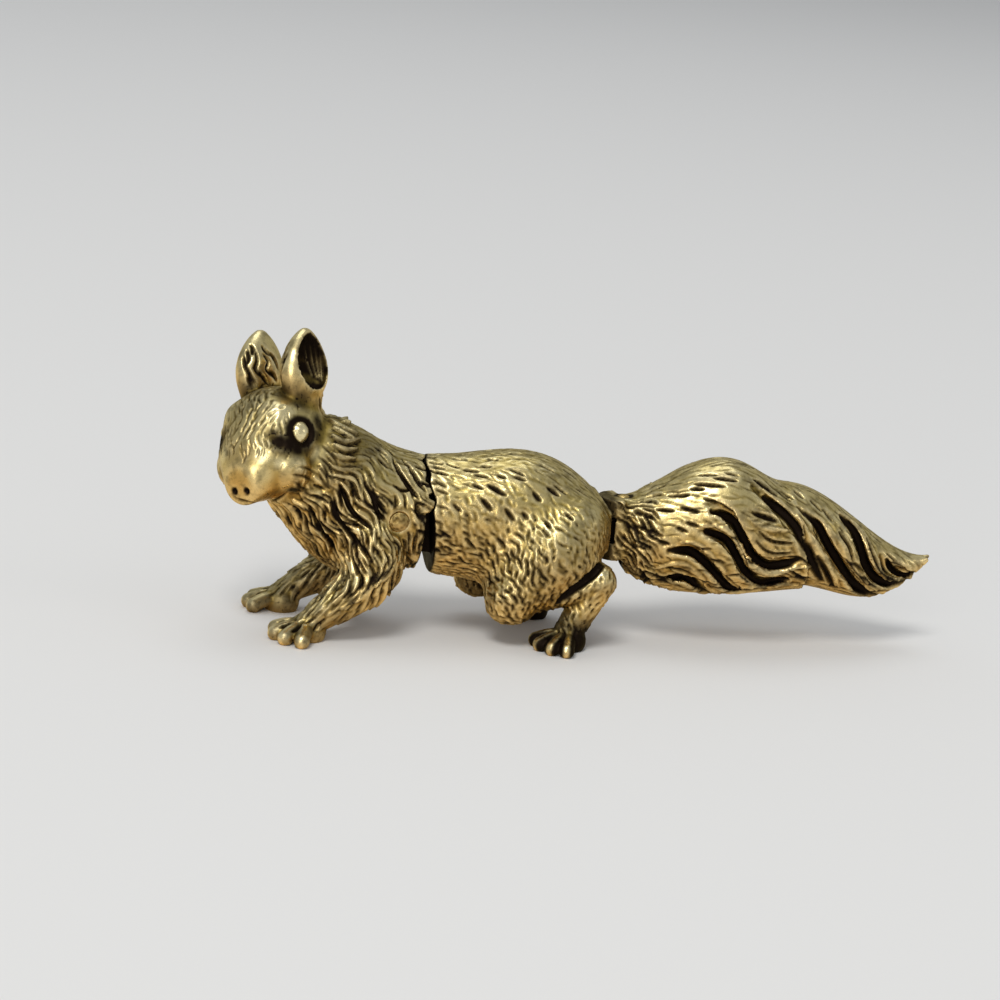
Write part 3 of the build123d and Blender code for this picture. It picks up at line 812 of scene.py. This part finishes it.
# Painted warm reflection on the muzzle and chin.
warm_reflection_patches = patches((
    ((245, 492), 2.2, 1.0), ((270, 490), 2.0, 0.9), ((298, 480), 1.6, 0.8), ((229, 455), 1.5, 0.5),
), head_mirrored)
for side in (1, -1):
    offset = local - EYE_PLACE * (1, side, 1)
    ring = np.hypot(offset[:, 0] / 1.1, offset[:, 2])
    near_eye = np.abs(offset[:, 1]) < 1.6
    ball = (np.linalg.norm(offset, axis=1) < 1.05) & (np.hypot(offset[:, 0], offset[:, 2]) < 0.92) & near_eye
    front.push[ball] += 0.1
    dark_ring = np.where(near_eye, 1 - smoothstep(ring, 1.35, 1.75), 0)
    stain_and_shade = np.maximum(stain_and_shade, dark_ring)
    polish_and_highlight = np.where(ball, 1.0, polish_and_highlight * (1 - dark_ring))
    nostril = np.linalg.norm(local - NOSTRIL_PLACE * (1, side, 1), axis=1)
    stain_and_shade = np.maximum(stain_and_shade, 1 - smoothstep(nostril, 0.3, 0.5))
    ear = local - EAR_ROOT * (1, side, 1)
    along = (ear[:, 2] * cos(EAR_RAKE) - ear[:, 0] * sin(EAR_RAKE)) / EAR_LENGTH
    across = ear[:, 0] * cos(EAR_RAKE) + ear[:, 2] * sin(EAR_RAKE)
    half = np.maximum(np.interp(along, *zip(*EAR_HOLLOW_SHARES), left=0, right=0), 1e-3)
    shell = np.hypot(across / (half * EAR_WIDTH), (side * ear[:, 1] - EAR_OUTSET) / (half * EAR_DEPTH))
    strand = smoothstep(front.locks, 0.1, 0.2)
    stain_and_shade = np.maximum(stain_and_shade, (1 - smoothstep(shell, 1.0, 1.16)) * (1 - 0.35 * strand))

front.tooled(still)
front_piece = front.piece("front_casting", "front", antique, patina_and_painted_light(front, still, stain_and_shade, polish_and_highlight, warm_reflection_patches))

# Rear casting
rear = Casting("rear_body", 0.125)
HIND_PAWS = ((-1.8, -5.3), (-3.0, 5.3))
HIND_TOE_LENGTH, HIND_TOE_ANGLES = 3.7, (-12, 18, 48, 75)


def rear_masks():
    """How far each vertex belongs to a joint, and to a joint or a sole."""
    x, y, z = rear.base.T
    tongue = (np.abs(y) < SLOT_HALF - 0.15) & (x < WAIST_FACE + 2.2) & (np.abs(z - waist_pin[2]) < SLOT_RADIUS - 0.3)
    face = (rear.n[:, 0] < -0.6) & (x < WAIST_FACE + 2.2)
    lug = (np.hypot(x - tail_pin[0], y) < TAIL_LUG_RADIUS + 0.55) & (x > 0)
    joint = (tongue | face | lug).astype(float)
    return joint, np.maximum(joint, 1 - smoothstep(z, 0.1, 0.5))


joint, still = rear_masks()
x, y, z = rear.base.T
toes = 1 - smoothstep(z, 1.5, 3.0)
face_gap = x - (WAIST_FACE + waist_gap(z))
rim = 1 - smoothstep(face_gap, 0.3, 0.7)
weight = 1 - np.maximum.reduce((still, rim, 0.8 * toes))
hock = smoothstep(x, -6.0, -3.5) * (1 - smoothstep(z, 7.5, 9.5))
settle(rear, 0.4, 90, weight * (1 - hock) * smoothstep(z, 2.6, 4.4) * smoothstep(face_gap, 1.2, 3.0))
rear.fillet(40, (weight * (1 - 0.8 * hock))[:, None])
rear.smooth(8, weight[:, None])
soften(rear, 4, rim * (x > WAIST_FACE) * (1 - smoothstep(z, 9, 14)))
wander(rear, 1 - smoothstep(face_gap, 0.2, 1.8))
rear.index()
joint, still = rear_masks()

rear_strokes = [
    rear_crop(*pair)
    for pair in (
        ((130, 180), (210, 225)), ((320, 195), (410, 203)), ((480, 295), (590, 360)), ((770, 340), (820, 395)),
        ((865, 310), (935, 360)), ((435, 385), (500, 460)), ((590, 450), (645, 525)), ((250, 530), (330, 700)),
        ((150, 590), (235, 640)), ((640, 620), (700, 800)), ((800, 600), (830, 760)), ((500, 900), (560, 1000)),
        ((700, 900), (720, 1050)), ((1000, 600), (1080, 700)), ((1150, 450), (1230, 560)), ((150, 700), (330, 800)),
        ((1230, 850), (1150, 1050)),
    )
]
rear_flow = lie_of_fur(
    rear,
    rear_strokes,
    (((-8, 0, 17.5), (1, 0, 0)), ((-5, 0, 5.3), (1, 0, 0)), ((2, 0, 15), (1, 0, -0.6))),
)

# Pits and worm-like ridges on the flanks, grains on the rump, fine strokes along the back
x, y, z = rear.base.T
paw = 1 - smoothstep(z, 1.8, 3.0)
furry = (paw < 0.6) & (still < 0.5)
for i in rear.scattered(0.6, furry):
    low = 1 - smoothstep(rear.base[i, 2], 8.0, 15.0)
    rump = smoothstep(rear.base[i, 0], -4.0, 0.0)
    length = rng.uniform(0.6, 1.7) * (1 - 0.5 * rump)
    path = rear.trace(rear.base[i], rear_flow, length, 0.6, 2.2, rng.uniform(0, 2 * pi))
    depth = rng.uniform(0.3, 1.0) * (0.05 + 0.14 * low) * (1 - 0.3 * rump)
    rear.cut(path, rng.uniform(0.13, 0.23) * (1 - 0.2 * rump), depth, 0.5, 0.01 + 0.02 * low)
for i in rear.scattered(0.9, furry & (z < 15)):
    low = 1 - smoothstep(rear.base[i, 2], 8.0, 15.0)
    path = rear.trace(rear.base[i], rear_flow, rng.uniform(0.8, 2.0), 0.7, 1.9, rng.uniform(0, 2 * pi))
    rear.lock(path, rng.uniform(0.15, 0.24), rng.uniform(0.05, 0.12) * low)
crown = (np.abs(y) < 4.2) & (rear.n[:, 2] > 0.6) & (still < 0.1) & (z > 12)
for i in rear.scattered(0.8, crown):
    path = rear.trace(rear.base[i], rear_flow, rng.uniform(1.0, 2.2))
    rear.cut(path, rng.uniform(0.08, 0.13), rng.uniform(0.03, 0.1))
rear_dashes = (
    ((120, 205), (215, 225)), ((125, 170), (190, 187)), ((320, 195), (410, 203)), ((440, 170), (495, 172)),
    ((540, 228), (588, 248)), ((480, 295), (590, 360)), ((770, 338), (820, 398)), ((865, 308), (938, 362)),
    ((435, 383), (500, 462)), ((590, 450), (645, 528)), ((150, 588), (235, 642)), ((850, 530), (882, 575)),
    ((330, 640), (395, 720)), ((540, 640), (585, 700)), ((250, 120), (330, 128)), ((650, 240), (720, 262)),
    ((985, 480), (1030, 520)), ((700, 470), (735, 520)), ((380, 290), (440, 318)), ((250, 420), (300, 470)),
)
BOLD_REAR_DASHES = (5, 6, 7, 8, 9)
for number, pair in enumerate(rear_dashes):
    path = rear.drawn(rear_crop(*pair), 2.0)
    size = 0.26 if number in BOLD_REAR_DASHES else 0.18
    for drawn in (path, rear.mirrored(path)):
        rear.cut(drawn, size, 0.32, 0.35)
for i in rear.scattered(2.3, crown):
    path = rear.trace(rear.base[i], rear_flow, rng.uniform(0.9, 1.6))
    rear.cut(path, 0.17, 0.26, 0.35)
hock_crease = rear.drawn([(607, 560), (592, 574), (572, 591), (557, 604)], 2.0)
for drawn in (hock_crease, rear.mirrored(hock_crease)):
    rear.cut(drawn, 0.55, 0.45, 0.4)
notched = (x > WAIST_FACE) & (face_gap > 0.4) & (face_gap < 1.4) & (still < 0.5) & (z > 8.5)
for i in rear.scattered(1.2, notched):
    path = rear.trace(rear.base[i], lambda point, normal: unit(np.array((-1, 0, 0.4))), 1.3)
    rear.cut(path, rng.uniform(0.14, 0.24), rng.uniform(0.15, 0.35), 0.3)

# Dark joint faces and feet; painted shade on the haunch and the inner legs, with some patina
stain_and_shade = np.maximum(joint, darkened_paws(rear, HIND_PAWS, HIND_TOE_LENGTH, HIND_TOE_ANGLES, 1.0))
x, y, z = rear.base.T
# Darker haunch, less where it faces up: painted shade, with some patina.
haunch_shade_and_patina = 0.26 * smoothstep(x, -9.0, -3.0) * smoothstep(z, 4.0, 7.0) * (1 - 0.6 * smoothstep(rear.n[:, 2], 0.3, 0.7))
# Painted shade on the inner sides of the lower legs, with some patina.
inner = 0.6 * smoothstep(-rear.n[:, 1] * np.sign(y), 0.0, 0.6) * (1 - smoothstep(z, 5.0, 7.5))
stain_and_shade = np.maximum.reduce((stain_and_shade, haunch_shade_and_patina, inner))
rear.tooled(still)
rear_piece = rear.piece("rear_casting", "rear", antique, patina_and_painted_light(rear, still, stain_and_shade))

# Tail casting
tail = Casting("tail", 0.125)


def tail_masks():
    """How far each vertex belongs to the tail's joint, inside its pocket or round its lug."""
    x, y, z = tail.base.T
    round_lug = np.hypot(x - tail_pin[0], y)
    pocket = (np.abs(z - tail_pin[2]) < TAIL_POCKET_HALF) & (round_lug < TAIL_LUG_RADIUS - 0.1)
    pocket = pocket | ((round_lug < TAIL_PIN_RADIUS + 0.35))
    hidden = (round_lug < TAIL_LUG_RADIUS + 0.1) & (x < tail_pin[0] - 1.3)
    return pocket.astype(float), np.maximum(pocket, hidden).astype(float)


pocket, still = tail_masks()
x, y, z = tail.base.T
root = (1 - smoothstep(x, tail_pin[0] + 3.5, tail_pin[0] + 6.5)) * (x > tail_pin[0] - 0.3)
settle(tail, 0.35, 170, (1 - still) * root * (np.hypot(x - tail_pin[0], y) > 1.2))
tail.fillet(4, (1 - still)[:, None])
tail.smooth(6, (1 - still)[:, None])
tail.index()
pocket, still = tail_masks()

tail_channels = (
    (((530, 312), (620, 350), (662, 420), (700, 500), (765, 545), (850, 535), (905, 520)), 0.5),
    (((505, 398), (590, 430), (632, 500), (682, 580), (745, 618), (850, 605)), 0.46),
    (((345, 482), (430, 482), (500, 535), (556, 600), (610, 640), (690, 650)), 0.48),
    (((280, 590), (330, 605), (400, 588), (440, 610), (480, 650)), 0.4),
    (((755, 255), (830, 312), (888, 372), (930, 450), (968, 540), (1000, 610)), 0.52),
    (((935, 320), (990, 375), (1030, 450), (1082, 540), (1130, 612), (1185, 652)), 0.46),
    (((1085, 335), (1140, 390), (1170, 460), (1192, 540), (1235, 600), (1300, 622)), 0.46),
    (((1285, 520), (1305, 560), (1350, 588), (1415, 572)), 0.32),
    (((1195, 430), (1225, 500), (1255, 560), (1290, 600)), 0.24),
    (((985, 505), (1020, 570), (1052, 640)), 0.28),
    (((1110, 520), (1140, 570), (1190, 620)), 0.22),
    (((215, 560), (250, 610), (275, 640)), 0.3),
    (((280, 640), (330, 640), (390, 660)), 0.22),
    (((735, 400), (790, 440), (880, 450)), 0.18),
    (((720, 440), (780, 490), (880, 490)), 0.16),
    (((860, 560), (900, 590), (950, 600)), 0.2),
    (((1080, 400), (1120, 460), (1140, 520)), 0.2),
    (((620, 640), (700, 640), (800, 630)), 0.18),
)
OVER_THE_KEEL = (2, 3, 5, 6, 11)
for number, (line, half_width) in enumerate(tail_channels):
    path = tail.drawn(tail_crop(*line), 3.0)
    if number in OVER_THE_KEEL:
        path = run_on(tail, path, 2.4)
    for drawn in (path, tail.mirrored(path)):
        tail.cut(drawn, half_width, min(0.42, 1.4 * half_width), 0.3, 0.15)
tail_ridges = (
    (((470, 370), (580, 385), (655, 460), (705, 550), (790, 580), (880, 555), (950, 545)), 0.34, 0.3),
    (((400, 445), (480, 462), (560, 545), (620, 625), (690, 645), (800, 622), (905, 625)), 0.34, 0.3),
    (((270, 560), (390, 535), (465, 580), (520, 640), (570, 660)), 0.3, 0.28),
    (((200, 560), (230, 600), (265, 655)), 0.26, 0.25),
    (((690, 340), (760, 380), (865, 395)), 0.3, 0.24),
    (((900, 330), (960, 420), (1010, 500), (1060, 590), (1080, 640)), 0.26, 0.25),
    (((1030, 370), (1090, 450), (1130, 540), (1190, 610), (1240, 650)), 0.26, 0.22),
    (((1170, 370), (1205, 440), (1235, 530), (1290, 600), (1370, 600)), 0.26, 0.24),
)
for line, half_width, height in tail_ridges:
    path = tail.drawn(tail_crop(*line), 3.0)
    for drawn in (path, tail.mirrored(path)):
        tail.lock(drawn, half_width, height)
tail_dashes = (
    ((540, 165), (638, 178)), ((455, 190), (585, 202)), ((438, 213), (492, 214)), ((383, 245), (428, 238)),
    ((498, 255), (572, 283)), ((398, 293), (472, 313)), ((290, 302), (362, 308)), ((233, 320), (277, 343)),
    ((198, 373), (282, 407)), ((203, 442), (268, 472)), ((208, 488), (252, 532)), ((378, 380), (422, 402)),
    ((420, 358), (472, 378)), ((708, 318), (812, 352)), ((713, 172), (812, 242)), ((772, 163), (832, 203)),
    ((888, 222), (924, 252)), ((300, 440), (345, 455)), ((900, 290), (935, 330)), ((1010, 300), (1050, 350)),
)
BOLD_TAIL_DASHES = (13, 14)
for number, pair in enumerate(tail_dashes):
    path = tail.drawn(tail_crop(*pair), 2.0)
    size = 0.3 if number in BOLD_TAIL_DASHES else 0.2
    for drawn in (path, tail.mirrored(path)):
        tail.cut(drawn, size, 0.36, 0.35, 0.03)
tail_flow = lie_of_fur(
    tail,
    [tail_crop(*pair) for pair in tail_dashes],
    (((12, 0, 17), (1, 0, 0.2)), ((20, 0, 17), (1, 0, -0.3)), ((28, 0, 12), (1, 0, -0.6)), ((15, 0, 4.8), (1, 0, 0))),
)

# Fine strokes along the crest, the root and the keel
crest = (tail.n[:, 2] > 0.35) & (still < 0.1)
for i in tail.scattered(0.8, crest):
    path = tail.trace(tail.base[i], tail_flow, rng.uniform(1.0, 2.4), 0.25, 3.0, rng.uniform(0, 2 * pi))
    tail.cut(path, rng.uniform(0.08, 0.13), rng.uniform(0.03, 0.1))
for i in tail.scattered(2.4, crest & (np.abs(tail.base[:, 1]) < 2.6)):
    path = tail.trace(tail.base[i], tail_flow, rng.uniform(1.0, 1.9))
    tail.cut(path, 0.18, 0.26, 0.35)
lower = (tail.n[:, 2] < 0.35) & (still < 0.1)
for i in tail.scattered(0.75, lower):
    path = tail.trace(tail.base[i], tail_flow, rng.uniform(0.7, 1.8), 0.4, 3.0, rng.uniform(0, 2 * pi))
    tail.cut(path, rng.uniform(0.09, 0.14), rng.uniform(0.03, 0.1))
keel = (tail.n[:, 2] < -0.7) & (still < 0.1)
for i in tail.scattered(1.4, keel):
    path = tail.trace(tail.base[i], tail_flow, rng.uniform(2.0, 3.2), 0.3, 3.0, rng.uniform(0, 2 * pi))
    tail.cut(path, 0.2, 0.2, 0.4)


# Strands over the root, cut only where the tail turns past the rump, and painted shade towards the seam
x, y, z = tail.base.T
strands = (x > tail_pin[0] - 1.3) & (x < tail_pin[0] + 2.0) & (still < 0.1) & (np.abs(tail.n[:, 2]) < 0.85)


def root_flow(point, normal):
    """Back along the tail and down."""
    heading = np.array((1.0, 0.0, -0.7))
    return unit(heading - normal * (heading @ normal))


for i in tail.scattered(0.6, strands & (x > tail_pin[0] + 0.3)):
    path = tail.trace(tail.base[i], root_flow, rng.uniform(0.9, 1.8), 0.4, 2.8, rng.uniform(0, 1.5))
    tail.lock(path, rng.uniform(0.18, 0.28), rng.uniform(0.1, 0.22))
for i in tail.scattered(0.5, strands):
    path = tail.trace(tail.base[i], root_flow, rng.uniform(0.9, 2.0), 0.4, 2.8, rng.uniform(0, 1.5))
    tail.cut(path, rng.uniform(0.11, 0.18), rng.uniform(0.14, 0.3))
# Painted shade where the tail root meets the rump.
seam = 0.85 * (1 - smoothstep(x, tail_pin[0] - 1.5, tail_pin[0] - 0.3))
tail.tooled(still)
tail_piece = tail.piece(
    "tail_casting", "tail", antique, patina_and_painted_light(tail, still, np.maximum(pocket, seam))
)

# Rivets: peened ends with small hammer flats
for node, body, name, axis in (("waist_pin", "front", "waist_rivet", 1), ("tail_pin", "tail", "tail_rivet", 2)):
    rivet = Casting(node, 0.06)
    centre = rivet.v.mean(0)
    reach = np.abs(rivet.v[:, axis] - centre[axis]).max()
    ends = np.abs(rivet.v[:, axis] - centre[axis]) > reach - 0.35
    for i in rivet.scattered(0.34, ends):
        rivet.bulge(rivet.base[i], 0.2, -rng.uniform(0.02, 0.09))
    rivet.tooled(np.where(ends, 0.0, 1.0))
    rivet.piece(name, body, peened, patina_and_painted_light(rivet, np.zeros(len(rivet.v)), np.clip(-rivet.push / 0.1, 0, 0.6)))

# Floor, light and camera
bpy.ops.mesh.primitive_plane_add(size=6)
floor = bpy.context.object
floor.name = "floor"
paper = bpy.data.materials.new("paper")
paper.use_nodes = True
paper.node_tree.nodes["Principled BSDF"].inputs["Base Color"].default_value = (0.74, 0.73, 0.71, 1)
paper.node_tree.nodes["Principled BSDF"].inputs["Roughness"].default_value = 0.9
floor.data.materials.append(paper)

world = bpy.data.worlds.new("studio")
bpy.context.scene.world = world
world.use_nodes = True
world.node_tree.nodes["Background"].inputs["Color"].default_value = (0.88, 0.91, 0.95, 1)
world.node_tree.nodes["Background"].inputs["Strength"].default_value = 0.5


def lamp(name, place, target, size, watts, colour):
    light = bpy.data.lights.new(name, "AREA")
    light.shape = "DISK"
    light.size = size * MM
    light.energy = watts
    light.color = colour
    holder = bpy.data.objects.new(name, light)
    holder.location = Vector(place) * MM
    holder.rotation_euler = (Vector(target) - Vector(place)).to_track_quat("-Z", "Y").to_euler()
    bpy.context.scene.collection.objects.link(holder)


lamp("key", (-420, -760, 1250), (0, 0, 8), 560, 10.0, (1.0, 0.99, 0.97))
lamp("window", (-600, -1150, 420), (0, 0, 8), 700, 4.0, (1.0, 0.99, 0.97))
lamp("sky", (50, 500, 1500), (0, 0, 8), 1000, 3.5, (0.94, 0.97, 1.0))
lamp("side", (1300, -600, 600), (0, 0, 8), 500, 0.9, (1.0, 0.95, 0.88))

centre_ray = pixel_ray(PHOTO_SIDE / 2, PHOTO_SIDE / 2)
lens_back = -centre_ray
lens_right = unit(right - lens_back * (right @ lens_back))
lens_up = np.cross(lens_back, lens_right)
lens = bpy.data.cameras.new("camera")
lens.sensor_width = SENSOR
lens.lens = FOCAL_PIXELS / PHOTO_SIDE * SENSOR
lens.clip_start = 1 * MM
camera = bpy.data.objects.new("camera", lens)
pose = np.eye(4)
pose[:3, :3] = np.column_stack((lens_right, lens_up, lens_back))
pose[:3, 3] = eye * MM
camera.matrix_world = Matrix(pose.tolist())
bpy.context.scene.collection.objects.link(camera)
bpy.context.scene.camera = camera
bpy.context.scene.view_settings.view_transform = "Standard"
